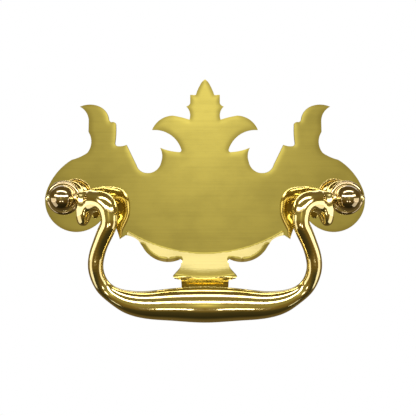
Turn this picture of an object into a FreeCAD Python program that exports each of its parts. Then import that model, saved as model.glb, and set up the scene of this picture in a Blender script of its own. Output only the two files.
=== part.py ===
import FreeCAD
import Part
import Sketcher
import math
import os

# Scrolled brass drawer pull: a pierced backplate, two ball posts with shanks and nuts, and a swinging bail.
# X runs to the right, Y into the drawer and Z up. The origin lies midway between the posts, level with
# their axes, on the backplate's back face.

SIZES = (
    ("post_spacing", 76.2, "between the two posts' axes"),
    ("plate_thickness", 1.8, "backplate, back face to front face"),
    ("bevel_width", 0.45, "bevel round the backplate's front edge, seen from the front"),
    ("bevel_depth", 0.22, "bevel round the backplate's front edge, seen from the side"),
    ("crest_rise", 32.95, "tip of the middle flame above the posts' axes"),
    ("horn_rise", 25.2, "tip of each horn above the posts' axes"),
    ("base_drop", 27.2, "foot of the pedestal below the posts' axes"),
    ("lobe_radius", 8.86, "round lobe of the backplate behind each post"),
    ("lobe_inset", 1.8, "lobe's centre, inwards of the post"),
    ("lobe_sink", 1.33, "lobe's centre, below the post"),
    ("pivot_height", 12.9, "bail's axis in front of the backplate"),
    ("ball_diameter", 7.0, "ball of a post"),
    ("collar_diameter", 9.3, "collar bead under the ball"),
    ("collar_bead", 0.8, "radius of the collar bead's round"),
    ("collar_height", 10.2, "middle of the collar bead in front of the backplate"),
    ("neck_diameter", 6.2, "narrowest part of the coved neck"),
    ("foot_diameter", 8.4, "foot of a post, on the backplate"),
    ("foot_height", 1.2, "straight rim of the foot"),
    ("spigot_diameter", 5.6, "part of a post inside the backplate"),
    ("spigot_clearance", 0.1, "round the spigot in the backplate"),
    ("spigot_chamfer", 0.4, "length of the cone between spigot and shank"),
    ("shank_diameter", 4.5, "plain shank through the drawer front"),
    ("shank_length", 12.0, "plain shank behind the backplate"),
    ("screw_diameter", 4.16, "threaded end of the shank"),
    ("screw_length", 15.0, "threaded end of the shank"),
    ("screw_chamfer", 0.6, "at the end of the thread"),
    ("drawer_thickness", 19.0, "drawer front that the nuts clamp"),
    ("nut_flats", 8.7, "nut across its flats"),
    ("nut_thickness", 3.2, "nut along the thread"),
    ("nut_clearance", 0.05, "round the thread in the nut"),
    ("pin_diameter", 2.0, "pivot pins of the bail"),
    ("pin_clearance", 0.08, "round a pin in its ball"),
    ("pin_reach", 4.6, "end of a pin outside the post's axis"),
    ("hook_gap", 0.3, "between a knuckle and its ball"),
    ("knuckle_height", 9.3, "tall rounded end of the bail, from top to bottom"),
    ("knuckle_depth", 4.4, "rounded end of the bail, from front to back"),
    ("knuckle_width", 3.4, "rounded end of the bail, along the pivot"),
    ("knuckle_drop", 2.8, "middle of the rounded end below the pivot"),
    ("hook_diameter", 5.5, "bar between a knuckle and its leg"),
    ("leg_diameter", 4.2, "leg of the bail"),
    ("leg_inset", 9.3, "top of a leg, inwards of the knuckle's outer side"),
    ("leg_reach", 4.4, "top of a leg in front of the pivot"),
    ("leg_drop", 6.0, "top of a leg below the pivot"),
    ("knee_inset", 5.35, "widest part of the legs, inwards of the knuckle's outer side"),
    ("knee_rise", 10.5, "widest part of the legs above the grip"),
    ("knee_reach", 2.4, "widest part of the legs in front of the grip"),
    ("grip_diameter", 9.5, "middle of the grip"),
    ("grip_drop", 28.5, "middle of the grip below the pivot"),
    ("grip_setback", 0.99, "middle of the grip behind the pivot"),
)

doc = FreeCAD.newDocument("bail_pull")
sheet = doc.addObject("Spreadsheet::Sheet", "Sizes")
for row, (alias, value, note) in enumerate(SIZES, start=1):
    sheet.set(f"A{row}", alias)
    sheet.set(f"B{row}", str(value))
    sheet.set(f"C{row}", note)
    sheet.setAlias(f"B{row}", alias)
doc.recompute()


def size(alias):
    return float(sheet.get(alias))


POST_X = size("post_spacing") / 2
FACE_Y = -size("plate_thickness")
PIVOT_Y = FACE_Y - size("pivot_height")


def sketch_on(body, role, name, offset=None):
    """A sketch on one of the body's origin planes, moved along its normal by an expression."""
    sketch = body.newObject("Sketcher::SketchObject", name)
    plane = next(feature for feature in body.Origin.OriginFeatures if feature.Role == role)
    sketch.AttachmentSupport = (plane, [""])
    sketch.MapMode = "FlatFace"
    if offset:
        sketch.setExpression("AttachmentOffset.Base.z", offset)
    return sketch


def draw_outline(sketch, start, steps):
    """Draw a closed outline. A step is an end point, or an arc's middle point and end point."""
    here = FreeCAD.Vector(*start, 0)
    for step in steps:
        points = [FreeCAD.Vector(*point, 0) for point in step]
        if len(points) == 1:
            sketch.addGeometry(Part.LineSegment(here, points[0]))
        else:
            sketch.addGeometry(Part.Arc(here, *points))
        here = points[-1]


def draw_circle(sketch, x, y, radius, x_rule, y_rule, radius_rule):
    """Draw a circle whose centre and radius are driven by expressions."""
    circle = sketch.addGeometry(Part.Circle(FreeCAD.Vector(x, y, 0), FreeCAD.Vector(0, 0, 1), radius))
    rules = (
        (Sketcher.Constraint("DistanceX", -1, 1, circle, 3, x), x_rule),
        (Sketcher.Constraint("DistanceY", -1, 1, circle, 3, y), y_rule),
        (Sketcher.Constraint("Radius", circle, radius), radius_rule),
    )
    for constraint, rule in rules:
        number = sketch.addConstraint(constraint)
        if rule:
            sketch.setExpression(f"Constraints[{number}]", rule)


def crest(x, below):
    """A point of the middle flame and its leaves, from the flame's tip."""
    return (x, size("crest_rise") - below)


def horn(inside, below):
    """A point of a horn, from the post's axis and the horn's tip."""
    return (POST_X - inside, size("horn_rise") - below)


def lobe(degrees):
    """A point on the round lobe, by its angle from the outward direction."""
    angle = math.radians(degrees)
    x = POST_X - size("lobe_inset") + size("lobe_radius") * math.cos(angle)
    return (x, size("lobe_radius") * math.sin(angle) - size("lobe_sink"))


def base(x, above):
    """A point of the skirt and pedestal, from the pedestal's foot."""
    return (x, above - size("base_drop"))


def half_outline():
    """The right half of the backplate's outline, from the flame's tip clockwise to the pedestal's foot."""
    flame = [
        (crest(0.58, 0.45), crest(1.33, 1.5)),
        (crest(2.1, 3.05), crest(2.62, 4.45)),
        (crest(4.18, 4.4),),
        (crest(4.18, 6.7),),
        (crest(4.45, 7.2), crest(5.28, 7.65)),
        (crest(4.25, 9.55), crest(4.4, 11.4)),
    ]
    leaf = [
        (crest(6.6, 10.75), crest(9.1, 10.25)),
        (crest(12.9, 11.6), crest(14.93, 14.3)),
        (crest(9.6, 15.8), crest(6.66, 19.9)),
        (crest(6.85, 20.4), crest(7.48, 20.55)),
        (crest(10.2, 20.15), crest(12.67, 19.35)),
        (crest(12.08, 21.35), crest(12.33, 23.2)),
    ]
    bay = [
        (crest(13.75, 25.65), crest(16.5, 26.5)),
        (crest(18.3, 25.9), crest(19.47, 24.2)),
    ]
    ear = [
        (horn(17.33, 13.75), horn(15.89, 10.78)),
        (horn(14.5, 11.15), horn(13.13, 11.09)),
        (horn(12.75, 10.8), horn(12.65, 10.3)),
        (horn(12.9, 7.8), horn(12.9, 5.28)),
        (horn(12.6, 4.5), horn(11.8, 4.35)),
        (horn(11.2, 4.15), horn(10.87, 3.64)),
        (horn(9.9, 1.2), horn(7.93, -0.23)),
        (horn(5.3, -0.6), horn(2.77, 0)),
        (horn(4.8, 2.0), horn(5.28, 4.15)),
        (horn(5.2, 7.05),),
        (horn(5.73, 8.18),),
        (horn(5.95, 10.6), horn(4.86, 13.04)),
        (horn(3.4, 13.9), horn(0.48, 14.98)),
        (horn(-3.65, 18.55), lobe(24.5)),
    ]
    side = [
        (lobe(-60), lobe(-142)),
        ((POST_X - 9.9, -5.7), (POST_X - 10.9, -5.3)),
        ((POST_X - 12.8, -8.6), base(24.05, 15.0)),
    ]
    skirt = [
        (base(22.4, 16.1),),
        (base(20.3, 15.6), base(18.75, 14.6)),
        (base(17.85, 13.25), base(17.1, 12.05)),
        (base(14.55, 9.75), base(10.07, 8.6)),
        (base(8.35, 8.85), base(6.72, 9.45)),
    ]
    pedestal = [
        (base(6.72, 8.41),),
        (base(6.9, 7.2), base(7.59, 6.15)),
        (base(8.3, 5.4), base(9.03, 4.57)),
        (base(8.2, 3.85), base(6.72, 3.55)),
        (base(6.58, 1.0),),
        (base(3.35, 0.25), base(0, 0)),
    ]
    return crest(0, 0), flame + leaf + bay + ear + side + skirt + pedestal


def mirrored(point):
    return (-point[0], point[1])


def whole_outline():
    """The half outline, then its mirror image walked back up to the flame's tip."""
    start, right = half_outline()
    begins = [start] + [step[-1] for step in right[:-1]]
    left = []
    for step, begin in zip(reversed(right), reversed(begins)):
        left.append(tuple(mirrored(point) for point in step[:-1]) + (mirrored(begin),))
    return start, right + left


class Stretch:
    """One straight or round stretch of an outline that is walked clockwise."""

    def __init__(self, begin, step):
        self.begin = FreeCAD.Vector(*begin, 0)
        self.end = FreeCAD.Vector(*step[-1], 0)
        self.middle = FreeCAD.Vector(*step[0], 0) if len(step) == 2 else None
        run = self.end - self.begin
        self.normal = FreeCAD.Vector(run.y, -run.x, 0).normalize()
        if self.middle:
            self.circle = Part.Circle(self.begin, self.middle, self.end)
            self.bulges = (self.middle - self.begin).dot(self.normal) < 0

    def inside(self, point):
        """How far a point lies inside this stretch, and the direction that leads further in."""
        if not self.middle:
            return (point - self.begin).dot(self.normal), self.normal
        ray = self.circle.Center - point
        length = ray.Length
        inward = ray / length if self.bulges else -ray / length
        depth = self.circle.Radius - length if self.bulges else length - self.circle.Radius
        return depth, inward


def inset_corner(before, after, width):
    """The point that lies the given width inside two stretches that meet."""
    point = before.end
    for _ in range(8):
        depth_a, in_a = before.inside(point)
        depth_b, in_b = after.inside(point)
        miss_a, miss_b = width - depth_a, width - depth_b
        cross = in_a.x * in_b.y - in_a.y * in_b.x
        if abs(cross) < 0.1:
            point = point + (in_a + in_b).normalize() * (miss_a + miss_b) / 2
        else:
            step_x = (miss_a * in_b.y - miss_b * in_a.y) / cross
            step_y = (miss_b * in_a.x - miss_a * in_b.x) / cross
            point = point + FreeCAD.Vector(step_x, step_y, 0)
    return (point.x, point.y)


def inset_outline(start, steps, width):
    """The same outline, drawn in by the given width, stretch by stretch."""
    begins = [start] + [step[-1] for step in steps[:-1]]
    stretches = [Stretch(begin, step) for begin, step in zip(begins, steps)]
    following = stretches[1:] + stretches[:1]
    corners = [inset_corner(one, other, width) for one, other in zip(stretches, following)]
    inset = []
    for stretch, corner in zip(stretches, corners):
        if stretch.middle:
            middle = stretch.middle + stretch.inside(stretch.middle)[1] * width
            inset.append(((middle.x, middle.y), corner))
        else:
            inset.append((corner,))
    return corners[-1], inset


def make_backplate():
    body = doc.addObject("PartDesign::Body", "backplate")
    start, steps = whole_outline()
    rim_height = "Sizes.plate_thickness - Sizes.bevel_depth"
    blank = sketch_on(body, "XZ_Plane", "plate_outline")
    draw_outline(blank, start, steps)
    pad = body.newObject("PartDesign::Pad", "plate_rim")
    pad.Profile = blank
    pad.setExpression("Length", rim_height)
    rim = sketch_on(body, "XZ_Plane", "bevel_foot", rim_height)
    draw_outline(rim, start, steps)
    face = sketch_on(body, "XZ_Plane", "plate_face", "Sizes.plate_thickness")
    draw_outline(face, *inset_outline(start, steps, size("bevel_width")))
    bevel = body.newObject("PartDesign::AdditiveLoft", "plate_bevel")
    bevel.Profile = rim
    bevel.Sections = [face]
    bevel.Ruled = True
    holes = sketch_on(body, "XZ_Plane", "shank_holes")
    radius = size("spigot_diameter") / 2 + size("spigot_clearance")
    radius_rule = "Sizes.spigot_diameter / 2 + Sizes.spigot_clearance"
    for side in (-1, 1):
        draw_circle(holes, side * POST_X, 0, radius, f"{side} * Sizes.post_spacing / 2", None, radius_rule)
    pocket = body.newObject("PartDesign::Pocket", "plate_holes")
    pocket.Profile = holes
    pocket.Type = "ThroughAll"
    pocket.Midplane = True
    return body


def post_profile():
    """Half section of a turned post, from the ball to the screw's end: distance from its axis, and Y."""
    ball = size("ball_diameter") / 2
    collar, bead = size("collar_diameter") / 2, size("collar_bead")
    foot, spigot = size("foot_diameter") / 2, size("spigot_diameter") / 2
    shank, screw = size("shank_diameter") / 2, size("screw_diameter") / 2
    collar_y = FACE_Y - size("collar_height")
    seat_y = collar_y - bead
    seat = math.sqrt(ball**2 - (seat_y - PIVOT_Y) ** 2)
    foot_y = FACE_Y - size("foot_height")
    cove_y = (collar_y + bead + foot_y) / 2
    cone = size("spigot_chamfer") / 2
    screw_y = size("shank_length")
    end_y = screw_y + size("screw_length")
    chamfer = size("screw_chamfer")
    start = (0, PIVOT_Y - ball)
    return start, [
        ((ball, PIVOT_Y), (seat, seat_y)),
        ((collar - bead, seat_y),),
        ((collar, collar_y), (collar - bead, collar_y + bead)),
        ((size("neck_diameter") / 2, cove_y), (foot, foot_y)),
        ((foot, FACE_Y),),
        ((spigot, FACE_Y),),
        ((spigot, -cone),),
        ((shank, cone),),
        ((shank, screw_y),),
        ((screw, screw_y),),
        ((screw, end_y - chamfer),),
        ((screw - chamfer, end_y),),
        ((0, end_y),),
        (start,),
    ]


def make_post(name, side):
    body = doc.addObject("PartDesign::Body", name)
    profile = sketch_on(body, "XY_Plane", f"{name}_profile")
    draw_outline(profile, *post_profile())
    turned = body.newObject("PartDesign::Revolution", f"{name}_turned")
    turned.Profile = profile
    turned.ReferenceAxis = (profile, ["V_Axis"])
    turned.Angle = 360
    eye = sketch_on(body, "YZ_Plane", f"{name}_eye")
    radius = size("pin_diameter") / 2 + size("pin_clearance")
    draw_circle(
        eye, PIVOT_Y, 0, radius,
        "-Sizes.plate_thickness - Sizes.pivot_height", None,
        "Sizes.pin_diameter / 2 + Sizes.pin_clearance",
    )
    drilled = body.newObject("PartDesign::Pocket", f"{name}_drilled")
    drilled.Profile = eye
    drilled.Type = "ThroughAll"
    drilled.Midplane = True
    body.setExpression("Placement.Base.x", f"{side} * Sizes.post_spacing / 2")
    return body


def make_nut(name, side):
    """A hex nut with its corners turned off at the rear, on the post's thread."""
    blank = doc.addObject("Part::Prism", f"{name}_blank")
    blank.Polygon = 6
    blank.setExpression("Circumradius", "Sizes.nut_flats / sqrt(3)")
    crown = doc.addObject("Part::Cone", f"{name}_crown")
    crown.setExpression("Radius1", "Sizes.nut_flats / 2 + Sizes.nut_thickness * sqrt(3)")
    crown.setExpression("Radius2", "Sizes.nut_flats / 2")
    bore = doc.addObject("Part::Cylinder", f"{name}_bore")
    bore.setExpression("Radius", "Sizes.screw_diameter / 2 + Sizes.nut_clearance")
    for solid in (blank, crown, bore):
        solid.setExpression("Height", "Sizes.nut_thickness")
        solid.Placement.Rotation = FreeCAD.Rotation(FreeCAD.Vector(1, 0, 0), -90)
        solid.setExpression("Placement.Base.x", f"{side} * Sizes.post_spacing / 2")
        solid.setExpression("Placement.Base.y", "Sizes.drawer_thickness")
    hexagon = doc.addObject("Part::Common", f"{name}_hexagon")
    hexagon.Base = blank
    hexagon.Tool = crown
    nut = doc.addObject("Part::Cut", name)
    nut.Base = hexagon
    nut.Tool = bore
    return nut


UPRIGHT = FreeCAD.Vector(0, 0, 1)


def half_bail():
    """The bail's oval sections, from a knuckle's outer side to the middle of the grip.

    Each has its centre, half its size across the bar, half its size from front to back, and whether it stands
    upright or square to the bar. A centre is given by its X, how far it lies in front of the pivot, and how
    far below it.
    """
    high, deep, wide = (size(f"knuckle_{name}") / 2 for name in ("height", "depth", "width"))
    hook, leg, grip = (size(f"{name}_diameter") / 2 for name in ("hook", "leg", "grip"))
    outer = POST_X - size("ball_diameter") / 2 - size("hook_gap")
    middle = size("knuckle_drop")
    leg_x, reach, top = outer - size("leg_inset"), size("leg_reach"), size("leg_drop")
    drop, back = size("grip_drop"), size("grip_setback")
    knee_x, knee = outer - size("knee_inset"), drop - size("knee_rise")
    knee_front = size("knee_reach") - back
    knuckle = [
        ((outer, 0, middle - 0.5), high - 1.6, deep - 1.0, True),
        ((outer - wide * 0.15, 0, middle - 0.3), high - 0.8, deep - 0.7, True),
        ((outer - wide * 0.47, 0, middle - 0.1), high - 0.25, deep - 0.3, True),
        ((outer - wide, 0, middle), high, deep, True),
        ((outer - wide * 1.65, 0.25, middle - 0.25), high - 0.1, deep + 0.1, True),
    ]
    hook_x = outer - wide * 2
    arch = [
        ((hook_x - 0.15, reach * 0.11, 1.6), hook + 1.05, hook - 0.35, True),
        ((hook_x - 0.65, reach * 0.17, 0.95), hook + 0.4, hook - 0.25, True),
        ((hook_x - 1.6, reach * 0.29, 0.75), hook + 0.1, hook - 0.15, True),
        ((leg_x + 2.9, reach * 0.5, 0.72), hook, hook - 0.1, False),
        ((leg_x + 1.6, reach * 0.71, 1.1), hook, hook - 0.15, False),
        ((leg_x + 0.5, reach * 0.89, 2.3), hook - 0.15, hook - 0.25, False),
        ((leg_x + 0.05, reach * 0.98, 4.1), leg + 0.3, leg + 0.3, False),
        ((leg_x, reach, top), leg + 0.15, leg + 0.15, False),
    ]
    slope = ((0.2, 0.23, 0.2, 0.15), (0.48, 0.62, 0.52, 0), (0.76, 0.91, 0.82, 0))
    sloping_leg = []
    for along, outward, inward, swell in slope:
        place = (
            leg_x + (knee_x - leg_x) * outward,
            reach + (knee_front - reach) * inward,
            top + (knee - top) * along,
        )
        sloping_leg.append((place, leg + swell, leg + swell, False))
    bend = [
        ((knee_x, knee_front, knee), leg - 0.05),
        ((knee_x - 0.6, knee_front * 0.55 - back * 0.45, drop - 7.2), leg - 0.1),
        ((knee_x - 2.0, knee_front * 0.22 - back * 0.78, drop - 4.6), leg - 0.05),
        ((knee_x - 4.55, knee_front * 0.06 - back * 0.94, drop - 2.5), leg + 0.2),
        ((knee_x - 7.95, -back, drop - 0.9), leg + 0.9),
        ((knee_x - 12.6, -back, drop), grip - 1.15),
        ((knee_x - 19.0, -back, drop), grip - 0.55),
        ((0, -back, drop), grip),
    ]
    return knuckle + arch + sloping_leg + [(centre, radius, radius, False) for centre, radius in bend]


def skin(sections):
    """A solid bar with a smooth skin over oval sections."""
    centres = [centre for centre, across, ahead, upright in sections]
    spine = Part.BSplineCurve()
    spine.interpolate(centres)
    stations = [spine.parameter(centre) for centre in centres]
    corner = math.cos(math.pi / 4)
    strips = []
    for number in range(8):
        angle = number * math.pi / 4
        swell = 1 / corner if number % 2 else 1
        points = []
        for (centre, half_across, half_ahead, upright), station in zip(sections, stations):
            along = spine.tangent(station)[0]
            across = UPRIGHT if upright else FreeCAD.Vector(0, 1, 0).cross(along).normalize()
            ahead = along.cross(across).normalize()
            offset = across * half_across * math.cos(angle) + ahead * half_ahead * math.sin(angle)
            points.append(centre + offset * swell)
        strip = Part.BSplineCurve()
        strip.interpolate(Points=points, Parameters=stations)
        strips.append(strip)
    poles = [strip.getPoles() for strip in strips]
    weights = [[corner if number % 2 else 1] * len(poles[0]) for number in range(8)]
    surface = Part.BSplineSurface()
    surface.buildFromPolesMultsKnots(
        poles, [2, 2, 2, 2, 2], strips[0].getMultiplicities(), [0, 1, 2, 3, 4], strips[0].getKnots(),
        True, False, 2, strips[0].Degree, weights,
    )
    side = surface.toShape()
    rims = [edge for edge in side.Edges if edge.isClosed()]
    caps = [Part.Face(Part.Wire(rim)) for rim in rims]
    shell = Part.Shell([side] + caps)
    shell.sewShape()
    return Part.Solid(shell)


def make_bail():
    """One casting: a bar of changing thickness, with a pin on the outer side of each knuckle."""
    right = []
    for (x, front, below), across, ahead, upright in half_bail():
        right.append((FreeCAD.Vector(x, PIVOT_Y - front, -below), across, ahead, upright))
    left = []
    for centre, across, ahead, upright in reversed(right[:-1]):
        left.append((FreeCAD.Vector(-centre.x, centre.y, centre.z), across, ahead, upright))
    bar = doc.addObject("Part::Feature", "bail_bar")
    bar.Shape = skin(right + left)
    pieces = [bar]
    root = "Sizes.post_spacing / 2 - Sizes.ball_diameter / 2 - Sizes.hook_gap - Sizes.knuckle_width / 2"
    end = "Sizes.post_spacing / 2 + Sizes.pin_reach - Sizes.pin_diameter / 2"
    for side in (-1, 1):
        pin = doc.addObject("Part::Cylinder", "bail_pin")
        pin.Placement.Rotation = FreeCAD.Rotation(FreeCAD.Vector(0, 1, 0), 90 * side)
        pin.setExpression("Height", f"({end}) - ({root})")
        tip = doc.addObject("Part::Sphere", "bail_pin_tip")
        for piece, place in ((pin, root), (tip, end)):
            piece.setExpression("Radius", "Sizes.pin_diameter / 2")
            piece.setExpression("Placement.Base.x", f"{side} * ({place})")
            piece.setExpression("Placement.Base.y", "-Sizes.plate_thickness - Sizes.pivot_height")
        pieces += [pin, tip]
    bail = doc.addObject("Part::MultiFuse", "bail")
    bail.Shapes = pieces
    return bail


parts = [
    make_backplate(),
    make_post("post_left", -1),
    make_post("post_right", 1),
    make_bail(),
    make_nut("nut_left", -1),
    make_nut("nut_right", 1),
]
doc.recompute()

failed = [item.Name for item in doc.Objects if "Invalid" in item.State or "Error" in item.State]
if failed:
    raise RuntimeError(f"not built: {failed}")
for part in parts:
    if part.Shape.isNull() or not part.Shape.isValid() or len(part.Shape.Solids) != 1:
        raise RuntimeError(f"{part.Label} is not one valid solid")
os.makedirs("parts", exist_ok=True)
for part in parts:
    part.Shape.exportStep(f"parts/{part.Label}.step")
    print(part.Label, round(part.Shape.Volume, 2), part.Shape.BoundBox)
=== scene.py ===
from math import cos, pi, radians, sin, sqrt, tan

import bpy
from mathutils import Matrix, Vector


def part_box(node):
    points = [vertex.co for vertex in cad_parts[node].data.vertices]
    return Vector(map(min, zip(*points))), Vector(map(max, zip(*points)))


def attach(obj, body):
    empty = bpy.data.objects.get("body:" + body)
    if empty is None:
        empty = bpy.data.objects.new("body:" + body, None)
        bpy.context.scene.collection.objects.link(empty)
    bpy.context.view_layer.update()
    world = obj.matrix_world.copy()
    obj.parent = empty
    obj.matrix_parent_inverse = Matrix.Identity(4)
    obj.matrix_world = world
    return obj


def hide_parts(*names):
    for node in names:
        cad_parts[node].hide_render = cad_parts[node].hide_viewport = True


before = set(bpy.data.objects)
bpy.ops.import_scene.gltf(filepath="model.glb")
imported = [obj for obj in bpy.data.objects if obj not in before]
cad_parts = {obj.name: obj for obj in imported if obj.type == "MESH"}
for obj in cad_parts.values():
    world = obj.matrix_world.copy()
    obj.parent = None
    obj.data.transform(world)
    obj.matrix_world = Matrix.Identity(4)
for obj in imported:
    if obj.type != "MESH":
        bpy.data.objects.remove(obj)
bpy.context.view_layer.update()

MM = 0.001

# The photograph's viewpoint: level, in front of the plate, with the lens axis above the middle of the frame.
FRAME_PIXELS = 416
FOCAL_PIXELS = 815
AXIS_PIXEL = (205, 157)
EYE = Vector((0, -231.8, 11)) * MM
SENSOR = 36
NEAREST_SEEN = 10 * MM

POST_X = 38.1 * MM
FACE_Y = -1.8 * MM


def make_camera():
    """The camera at the photograph's viewpoint, shifted as its frame is."""
    bpy.ops.object.camera_add(location=EYE, rotation=(radians(90), 0, 0))
    camera = bpy.context.object
    camera.data.sensor_width = SENSOR
    camera.data.lens = SENSOR * FOCAL_PIXELS / FRAME_PIXELS
    camera.data.shift_x = (FRAME_PIXELS / 2 - AXIS_PIXEL[0]) / FRAME_PIXELS
    camera.data.shift_y = (AXIS_PIXEL[1] - FRAME_PIXELS / 2) / FRAME_PIXELS
    camera.data.clip_start = NEAREST_SEEN
    bpy.context.scene.camera = camera


class Socket:
    """One output of a shader node, with arithmetic that adds Math nodes."""

    def __init__(self, shader, output):
        self.shader = shader
        self.output = output

    def _math(self, operation, first, second):
        return self.shader.node("ShaderNodeMath", {"operation": operation}, {0: first, 1: second})

    def __add__(self, other):
        return self._math("ADD", self, other)

    __radd__ = __add__

    def __sub__(self, other):
        return self._math("SUBTRACT", self, other)

    def __rsub__(self, other):
        return self._math("SUBTRACT", other, self)

    def __mul__(self, other):
        return self._math("MULTIPLY", self, other)

    __rmul__ = __mul__

    def __truediv__(self, other):
        return self._math("DIVIDE", self, other)

    def __rtruediv__(self, other):
        return self._math("DIVIDE", other, self)


class Shader:
    """A material or world being wired up."""

    def __init__(self, owner):
        owner.use_nodes = True
        self.tree = owner.node_tree
        self.tree.nodes.clear()

    def node(self, kind, settings=None, inputs=None, output=0):
        """Adds a node, sets it up, feeds its sockets and returns one of its outputs."""
        made = self.tree.nodes.new(kind)
        for name, value in (settings or {}).items():
            if name == "stops":
                self._stops(made.color_ramp, value)
            else:
                setattr(made, name, value)
        for key, value in (inputs or {}).items():
            if isinstance(value, Socket):
                self.tree.links.new(value.output, made.inputs[key])
            else:
                made.inputs[key].default_value = value
        return Socket(self, made.outputs[output]) if made.outputs else None

    @staticmethod
    def _stops(ramp, stops):
        while len(ramp.elements) < len(stops):
            ramp.elements.new(1)
        for element, (place, colour) in zip(ramp.elements, stops):
            element.position = place
            element.color = colour


def noise(shader, per_mm, detail=3, roughness=0.55):
    """Noise over the piece, with its grain given as cells per millimetre along X, Y and Z."""
    place = shader.node("ShaderNodeTexCoord", output="Object")
    scale = [value / MM for value in per_mm]
    scaled = shader.node("ShaderNodeMapping", {}, {"Vector": place, "Scale": scale})
    return shader.node("ShaderNodeTexNoise", {}, {
        "Vector": scaled, "Scale": 1, "Detail": detail, "Roughness": roughness,
    })


def mask(shader, value, low, high):
    """0 below low and 1 above high, with a soft step between them."""
    return shader.node("ShaderNodeMapRange", {"interpolation_type": "SMOOTHSTEP"}, {
        "Value": value, "From Min": low, "From Max": high,
    })


def blend(shader, factor, first, second):
    """The first colour at factor 0 and the second at factor 1."""
    return shader.node("ShaderNodeMix", {"data_type": "RGBA"}, {
        "Factor": factor, 6: first, 7: second,
    }, output=2)


# How far tarnish clouds and the streaks of finishing dull and roughen the brass.
CLOUD_GRAIN = (0.09, 0.09, 0.13)
CLOUD_EDGE = (0.35, 0.7)
CLOUD_SHARE = 0.7
STREAK_STRETCH = 0.25
STREAK_EDGE = (0.35, 0.75)
STREAK_SHARE = 0.3
SMOOTHEST = 0.7
CLOUD_ROUGHNESS = 0.35
STREAK_ROUGHNESS = 0.3
LACQUER_ROUGHNESS = 0.03


def brass(name, clean, dull, roughness, grain, grain_depth):
    """Lacquered brass with faint tarnish clouds and a fine directional grain left by finishing.

    The grain is in cells per millimetre along X, Y and Z, and its depth in millimetres.
    """
    material = bpy.data.materials.new(name)
    shader = Shader(material)
    clouds = noise(shader, CLOUD_GRAIN, detail=4)
    tarnish = mask(shader, clouds, *CLOUD_EDGE)
    lines = noise(shader, grain, detail=4, roughness=0.7)
    streaks = noise(shader, [value * STREAK_STRETCH for value in grain])
    dulled = tarnish * CLOUD_SHARE + mask(shader, streaks, *STREAK_EDGE) * STREAK_SHARE
    bump = shader.node("ShaderNodeBump", {}, {"Strength": 1, "Distance": grain_depth * MM, "Height": lines})
    uneven = tarnish * (roughness * CLOUD_ROUGHNESS) + streaks * (roughness * STREAK_ROUGHNESS)
    surface = shader.node("ShaderNodeBsdfPrincipled", {}, {
        "Base Color": blend(shader, dulled, clean, dull),
        "Metallic": 1,
        "Roughness": uneven + roughness * SMOOTHEST,
        "Normal": bump,
        "Coat Weight": 1,
        "Coat Roughness": LACQUER_ROUGHNESS,
    })
    shader.node("ShaderNodeOutputMaterial", {}, {"Surface": surface})
    return material


def dress(piece, material):
    piece.data.materials.clear()
    piece.data.materials.append(material)


WHITE = (1, 1, 1, 1)
BACKDROP_RADIUS = 4
FLOOR_SIZE = 3
FLOOR_Z = -120 * MM


def white_sheet(piece, name):
    """Names a floor or backdrop and makes it plain white paper that the brass does not mirror."""
    material = bpy.data.materials.new(name)
    shader = Shader(material)
    glow = shader.node("ShaderNodeEmission", {}, {"Color": WHITE, "Strength": 1})
    shader.node("ShaderNodeOutputMaterial", {}, {"Surface": glow})
    piece.name = name
    dress(piece, material)
    piece.visible_glossy = False
    piece.visible_diffuse = False


def make_surroundings():
    bpy.ops.mesh.primitive_uv_sphere_add(segments=48, ring_count=24, radius=BACKDROP_RADIUS)
    white_sheet(bpy.context.object, "backdrop")
    bpy.ops.mesh.primitive_plane_add(size=FLOOR_SIZE, location=(0, 0, FLOOR_Z))
    white_sheet(bpy.context.object, "floor")


# The room from straight below (0) through level (0.5) to straight above (1).
ROOM_TONE = [
    (0.0, (0.02, 0.018, 0.008, 1)),
    (0.05, (0.038, 0.028, 0.010, 1)),
    (0.14, (0.045, 0.036, 0.014, 1)),
    (0.25, (0.17, 0.11, 0.024, 1)),
    (0.38, (0.2, 0.135, 0.035, 1)),
    (0.44, (0.28, 0.235, 0.08, 1)),
    (0.55, (0.29, 0.245, 0.085, 1)),
    (0.59, (0.18, 0.12, 0.03, 1)),
    (0.7, (0.19, 0.135, 0.04, 1)),
    (0.85, (0.22, 0.185, 0.07, 1)),
    (0.93, (0.23, 0.176, 0.064, 1)),
    (1.0, (0.14, 0.10, 0.028, 1)),
]
GLOW_COLOUR = (0.96, 0.92, 0.41, 1)
GLOW_HALF_WIDTH = 0.0855
GLOW_HALF_RISE = 0.131
GLOW_HEIGHT = 0.1
GLOW_LEVEL = 0.8
BEHIND_COLOUR = (0.17, 0.122, 0.045, 1)
BEHIND_EDGE = (-0.15, 0.4)
BEHIND_SHARE = 0.75


def make_room_tone():
    """What the metal sees between the lights: dim below, brighter above, with a soft glow in front."""
    world = bpy.data.worlds.new("room")
    bpy.context.scene.world = world
    shader = Shader(world)
    direction = shader.node("ShaderNodeTexCoord", output="Generated")
    across, depth, height = (
        shader.node("ShaderNodeSeparateXYZ", {}, {"Vector": direction}, output=axis) for axis in "XYZ")
    tone = shader.node("ShaderNodeValToRGB", {"stops": ROOM_TONE}, {"Fac": height * 0.5 + 0.5})
    aside = across / GLOW_HALF_WIDTH
    above = (height - GLOW_HEIGHT) / GLOW_HALF_RISE
    glow = 1 / (aside * aside + above * above + 1)
    lit = shader.node("ShaderNodeMix", {"data_type": "RGBA", "blend_type": "ADD"}, {
        "Factor": glow * GLOW_LEVEL, 6: tone, 7: GLOW_COLOUR,
    }, output=2)
    behind = mask(shader, depth, *BEHIND_EDGE) * BEHIND_SHARE
    shaded = blend(shader, behind, lit, BEHIND_COLOUR)
    back = shader.node("ShaderNodeBackground", {}, {"Color": shaded, "Strength": 1})
    shader.node("ShaderNodeOutputWorld", {}, {"Surface": back})


BOX_DISTANCE = 0.6
RIM_DISTANCE = 0.65
RIM_SPREAD = 11


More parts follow.
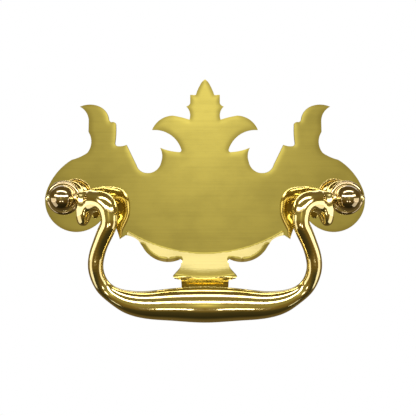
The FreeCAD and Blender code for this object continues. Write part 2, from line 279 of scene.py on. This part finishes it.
def softbox(name, azimuth, elevation, span, rise, power, rim):
    """A bright panel with a dimmer, wider rim behind it, so that its image on the brass has a soft edge."""
    panel(name, azimuth, elevation, span, rise, power, BOX_DISTANCE)
    panel(name + "_rim", azimuth, elevation, span + RIM_SPREAD, rise + RIM_SPREAD, rim, RIM_DISTANCE)


def panel(name, azimuth, elevation, span, rise, power, distance):
    """A rectangular light facing the pull; its span and rise are angles as seen from there.

    Azimuth 0 is the viewer's side, and azimuth grows to the right. The distance is in metres.
    """
    turn = radians(azimuth)
    lift = radians(elevation)
    towards = Vector((sin(turn) * cos(lift), -cos(turn) * cos(lift), sin(lift)))
    bpy.ops.object.light_add(type="AREA", location=towards * distance)
    lamp = bpy.context.object
    lamp.name = name
    lamp.rotation_euler = towards.to_track_quat("Z", "Y").to_euler()
    lamp.data.shape = "RECTANGLE"
    width = 2 * distance * tan(radians(span / 2))
    height = 2 * distance * tan(radians(rise / 2))
    lamp.data.size = width
    lamp.data.size_y = height
    lamp.data.energy = power * width * height * pi
    lamp.visible_camera = False


def make_lights():
    """Long boxes in front, above and behind, and small cards and panes that draw the bail's highlights."""
    panel("front_box", azimuth=0, elevation=23.5, span=60, rise=10, power=7, distance=BOX_DISTANCE)
    panel("front_glow", azimuth=0, elevation=18.5, span=71, rise=13, power=0.72, distance=RIM_DISTANCE)
    softbox("top_box", azimuth=0, elevation=68, span=70, rise=9, power=7, rim=0.8)
    softbox("back_box", azimuth=180, elevation=36, span=80, rise=16, power=1, rim=0.2)
    for side in (-1, 1):
        softbox("front_wing", azimuth=side * 46, elevation=22, span=30, rise=10, power=7, rim=0.6)
        softbox("low_card", azimuth=side * 11, elevation=-24, span=8, rise=5, power=6, rim=0.08)
        panel("side_pane", azimuth=side * 69, elevation=-7, span=38, rise=16, power=1.6, distance=0.12)
        panel("low_pane", azimuth=side * 71, elevation=-30, span=28, rise=31, power=1.1, distance=0.15)


WELD = 0.001 * MM
FLAT_ANGLE = radians(0.2)


def copy_of(node, name):
    """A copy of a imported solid, with its loose triangles merged and its flat faces made whole."""
    piece = bpy.data.objects.new(name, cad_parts[node].data.copy())
    bpy.context.scene.collection.objects.link(piece)
    open_piece(piece)
    bpy.ops.mesh.customdata_custom_splitnormals_clear()
    bpy.ops.mesh.select_all(action="SELECT")
    bpy.ops.mesh.remove_doubles(threshold=WELD)
    bpy.ops.mesh.dissolve_limited(angle_limit=FLAT_ANGLE)
    bpy.ops.object.mode_set(mode="OBJECT")
    return piece


def open_piece(piece):
    """Makes one piece the only one selected and opens it for editing."""
    bpy.ops.object.select_all(action="DESELECT")
    bpy.context.view_layer.objects.active = piece
    piece.select_set(True)
    bpy.ops.object.mode_set(mode="EDIT")


def apply_modifiers(piece, *names):
    bpy.ops.object.select_all(action="DESELECT")
    bpy.context.view_layer.objects.active = piece
    piece.select_set(True)
    for name in names:
        bpy.ops.object.modifier_apply(modifier=name)


def pick_faces(piece, wanted):
    """Selects the faces that the test accepts, by their middle and normal, and nothing else."""
    bpy.ops.mesh.select_mode(type="FACE")
    bpy.ops.mesh.select_all(action="DESELECT")
    bpy.ops.object.mode_set(mode="OBJECT")
    for face in piece.data.polygons:
        face.select = wanted(face.center, face.normal)
    bpy.ops.object.mode_set(mode="EDIT")


def pick_points(piece, wanted):
    """Selects the points that the test accepts, and nothing else."""
    bpy.ops.mesh.select_mode(type="VERT")
    bpy.ops.mesh.select_all(action="DESELECT")
    bpy.ops.object.mode_set(mode="OBJECT")
    for point in piece.data.vertices:
        point.select = wanted(point.co)
    bpy.ops.object.mode_set(mode="EDIT")


# The plate's shallow forms, judged from the reflections in the photograph.
PLATE_GRID = 0.45 * MM
SKIRT_GRID = 0.2 * MM
BEVEL_DEPTH = 0.22 * MM
EDGE_ROLL = 1.4 * MM
EDGE_ROLL_DEPTH = 0.04 * MM
SKIRT_HALF = 24.1 * MM
SKIRT_TOP = -9 * MM
SMILE_RADIUS = 41.5 * MM
SMILE_LOW = -16.1 * MM
LIP_HALF = 21.9 * MM
LIP_LENGTH = 6.5 * MM
LIP_REACH = 1.25 * MM
PEDESTAL_HALF = 6.8 * MM
LEDGE_Z = -23.3 * MM
NECK_LENGTH = 4 * MM
NECK_SETBACK = 0.35 * MM
BELLY_LOW = -19 * MM
BELLY_HALF = 17.8 * MM
BELLY_ROLL = 1.0 * MM
BELLY_ROLL_DEPTH = 0.265 * MM
HOLE_RIM = 3.4 * MM
HAIR = 0.01 * MM
BEVEL_GONE_ANGLE = radians(0.5)
PLATE_CREASE = radians(14)

SMILE_MIDDLE = Vector((0, FACE_Y, SMILE_LOW + SMILE_RADIUS))


def faces_front(normal):
    return normal.y < -0.5


def faces_back(normal):
    return normal.y > 0.99


def by_post(point):
    return Vector((abs(point.x) - POST_X, point.z)).length < HOLE_RIM


def in_skirt(point):
    return point.z < SKIRT_TOP and abs(point.x) < SKIRT_HALF


def on_face(point):
    return point.y < FACE_Y + HAIR


def on_bevel(point):
    return point.y < FACE_Y + BEVEL_DEPTH + HAIR


def on_upper_edge(point):
    return not in_skirt(point) and not by_post(point)


def on_belly_edge(point):
    return in_skirt(point) and PEDESTAL_HALF < abs(point.x) < BELLY_HALF and point.z > BELLY_LOW


def on_skirt(point):
    return in_skirt(point) and point.y < FACE_Y + BEVEL_DEPTH and point.z > LEDGE_Z


def on_lip(point):
    below_smile = (Vector((point.x, FACE_Y, point.z)) - SMILE_MIDDLE).length > SMILE_RADIUS
    return point.y < -HAIR and abs(point.x) < LIP_HALF and below_smile and LEDGE_Z < point.z < SKIRT_TOP


def on_neck(point):
    return on_face(point) and point.z < LEDGE_Z


def cut_grid(box, step):
    """Cuts what is not hidden along a fine square grid, so that it can be curved."""
    low, high = box
    for axis in (0, 2):
        normal = Vector((0, 0, 0))
        normal[axis] = 1
        for number in range(1, int((high[axis] - low[axis]) / step)):
            bpy.ops.mesh.select_all(action="SELECT")
            bpy.ops.mesh.bisect(plane_co=normal * (low[axis] + number * step), plane_no=normal)


def edge_guide(piece, wanted):
    """A stretch of the plate's outline as a loose line in its front face."""
    pick_faces(piece, lambda middle, normal: faces_back(normal))
    bpy.ops.mesh.region_to_loop()
    bpy.ops.mesh.duplicate()
    bpy.ops.transform.translate(value=(0, FACE_Y, 0))
    bpy.ops.mesh.separate(type="SELECTED")
    bpy.ops.object.mode_set(mode="OBJECT")
    guide = next(item for item in bpy.context.selected_objects if item != piece)
    open_piece(guide)
    pick_points(guide, lambda point: not wanted(point))
    bpy.ops.mesh.delete(type="VERT")
    bpy.ops.object.mode_set(mode="OBJECT")
    return guide


def smile_guide():
    """The curved line along which the skirt bends forward."""
    bpy.ops.mesh.primitive_circle_add(
        vertices=256, radius=SMILE_RADIUS, location=SMILE_MIDDLE, rotation=(radians(90), 0, 0))
    return bpy.context.object


def ledge_guide():
    """The line across the pedestal, under its ledge."""
    bpy.ops.mesh.primitive_plane_add(size=2 * PEDESTAL_HALF, location=(0, FACE_Y + PEDESTAL_HALF, LEDGE_Z))
    return bpy.context.object


def lean(piece, on_part, guide, rest_at, full_at, reach, falloff):
    """Moves part of the face to and fro by its distance from a guide line, then removes the guide.

    The move is nothing at the first distance and whole at the second.
    """
    open_piece(piece)
    pick_points(piece, on_part)
    piece.vertex_groups.clear()
    piece.vertex_groups.new(name="part")
    bpy.ops.object.vertex_group_assign()
    bpy.ops.object.mode_set(mode="OBJECT")
    nearness = piece.modifiers.new("nearness", "VERTEX_WEIGHT_PROXIMITY")
    nearness.vertex_group = "part"
    nearness.target = guide
    nearness.proximity_mode = "GEOMETRY"
    nearness.proximity_geometry = {"EDGE"}
    nearness.min_dist = rest_at
    nearness.max_dist = full_at
    nearness.falloff_type = falloff
    push = piece.modifiers.new("push", "DISPLACE")
    push.vertex_group = "part"
    push.direction = "Y"
    push.mid_level = 0
    push.strength = reach
    apply_modifiers(piece, "nearness", "push")
    bpy.data.objects.remove(guide)


def make_plate():
    """The backplate with softened upper edges, a skirt bent forward and a ledge across its pedestal."""
    piece = copy_of("backplate", "plate")
    open_piece(piece)
    pick_points(piece, on_bevel)
    bpy.ops.transform.resize(value=(1, 0, 1), center_override=(0, FACE_Y, 0))
    bpy.ops.mesh.select_all(action="SELECT")
    bpy.ops.mesh.dissolve_limited(angle_limit=BEVEL_GONE_ANGLE)
    pick_faces(piece, lambda middle, normal: faces_front(normal))
    bpy.ops.mesh.hide(unselected=True)
    low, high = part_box("backplate")
    cut_grid((low, high), PLATE_GRID)
    pick_faces(piece, lambda middle, normal: faces_front(normal) and in_skirt(middle))
    bpy.ops.mesh.hide(unselected=True)
    cut_grid(((-SKIRT_HALF, 0, low[2]), (SKIRT_HALF, 0, SKIRT_TOP)), SKIRT_GRID)
    bpy.ops.mesh.reveal(select=False)
    outline = edge_guide(piece, on_upper_edge)
    open_piece(piece)
    belly = edge_guide(piece, on_belly_edge)
    lean(piece, on_skirt, belly, BELLY_ROLL, 0, BELLY_ROLL_DEPTH, "LINEAR")
    lean(piece, on_lip, smile_guide(), 0, LIP_LENGTH, -LIP_REACH, "LINEAR")
    lean(piece, on_face, outline, EDGE_ROLL, 0, EDGE_ROLL_DEPTH, "SHARP")
    lean(piece, on_neck, ledge_guide(), 0, NECK_LENGTH, NECK_SETBACK, "LINEAR")
    piece.vertex_groups.clear()
    bpy.ops.object.shade_smooth_by_angle(angle=PLATE_CREASE)
    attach(piece, "plate")
    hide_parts("backplate")
    return piece


BAIL_CELL = 0.22 * MM
BAIL_SMOOTHING = 12
BAIL_SMOOTHING_STEP = 0.5


def make_bail():
    """The bail with its cast skin drawn fine and even, so that highlights run along it without a break."""
    piece = copy_of("bail", "bail_casting")
    skin = piece.modifiers.new("skin", "REMESH")
    skin.mode = "VOXEL"
    skin.voxel_size = BAIL_CELL
    polish = piece.modifiers.new("polish", "SMOOTH")
    polish.factor = BAIL_SMOOTHING_STEP
    polish.iterations = BAIL_SMOOTHING
    apply_modifiers(piece, "skin", "polish")
    bpy.ops.object.shade_smooth()
    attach(piece, "bail")
    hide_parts("bail")
    return piece


# The thread at the end of each shank, wound a little narrower than its pitch so that turns stay apart.
SCREW_START = 12 * MM
SCREW_RADIUS = 2.08 * MM
SCREW_ROOT = 1.6 * MM
THREAD_PITCH = 0.8 * MM
THREAD_TURNS = 17
THREAD_STEPS = 40
RIDGE_SHARE = 0.96
POST_CREASE = radians(28)


def make_thread(x):
    """A screw thread as one ridge wound round the end of a shank, with both its ends closed."""
    ridge = RIDGE_SHARE * THREAD_PITCH / sqrt(3)
    bpy.ops.mesh.primitive_circle_add(
        vertices=3, radius=ridge, location=(x, SCREW_START, 0), rotation=(0, 0, radians(-90)))
    bpy.ops.object.transform_apply(location=False, rotation=True, scale=False)
    thread = bpy.context.object
    open_piece(thread)
    bpy.ops.mesh.select_all(action="SELECT")
    bpy.ops.transform.translate(value=(SCREW_RADIUS - ridge, 0, 0))
    bpy.ops.object.mode_set(mode="OBJECT")
    winding = thread.modifiers.new("winding", "SCREW")
    winding.axis = "Y"
    winding.screw_offset = THREAD_PITCH
    winding.iterations = THREAD_TURNS
    winding.steps = THREAD_STEPS
    winding.render_steps = THREAD_STEPS
    apply_modifiers(thread, "winding")
    open_piece(thread)
    bpy.ops.mesh.select_all(action="SELECT")
    bpy.ops.mesh.fill_holes(sides=3)
    bpy.ops.mesh.normals_make_consistent(inside=False)
    bpy.ops.object.mode_set(mode="OBJECT")
    bpy.ops.object.transform_apply(location=True, rotation=False, scale=False)
    return thread


def make_post(node, x):
    """A ball post whose shank has a real thread at its end."""

    def on_screw(point):
        from_axis = Vector((point.x - x, point.z)).length
        return point.y > SCREW_START - HAIR and from_axis < SCREW_RADIUS + HAIR

    thread = make_thread(x)
    piece = copy_of(node, node + "_turned")
    open_piece(piece)
    pick_points(piece, on_screw)
    thinner = SCREW_ROOT / SCREW_RADIUS
    bpy.ops.transform.resize(value=(thinner, 1, thinner), center_override=(x, 0, 0))
    bpy.ops.object.mode_set(mode="OBJECT")
    thread.select_set(True)
    bpy.ops.object.join()
    bpy.ops.object.shade_smooth_by_angle(angle=POST_CREASE)
    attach(piece, "plate")
    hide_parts(node)
    return piece


bpy.ops.object.select_all(action="DESELECT")
bpy.context.scene.view_settings.view_transform = "Standard"
make_camera()
make_surroundings()
make_room_tone()
make_lights()
satin = brass(
    "satin_brass", clean=(0.84, 0.735, 0.33, 1), dull=(0.68, 0.59, 0.26, 1),
    roughness=0.035, grain=(0.12, 1, 6), grain_depth=0.0008)
polished = brass(
    "polished_brass", clean=(0.86, 0.73, 0.33, 1), dull=(0.74, 0.60, 0.24, 1),
    roughness=0.08, grain=(1.5, 1.5, 1.5), grain_depth=0.0006)
# The posts' brass is painted darker and browner than the bail's: painted shade standing in for the dark
# reflections on the balls.
turned_painted_shade = brass(
    "turned_brass_painted_shade", clean=(0.48, 0.36, 0.19, 1), dull=(0.38, 0.28, 0.14, 1),
    roughness=0.07, grain=(1, 6, 1), grain_depth=0.0006)
machined = brass(
    "machined_brass", clean=(0.78, 0.60, 0.15, 1), dull=(0.60, 0.45, 0.11, 1),
    roughness=0.26, grain=(3, 3, 3), grain_depth=0.0015)
dress(make_plate(), satin)
dress(make_bail(), polished)
for name, x in (("post_left", -POST_X), ("post_right", POST_X)):
    dress(make_post(name, x), turned_painted_shade)
for name in ("nut_left", "nut_right"):
    dress(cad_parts[name], machined)
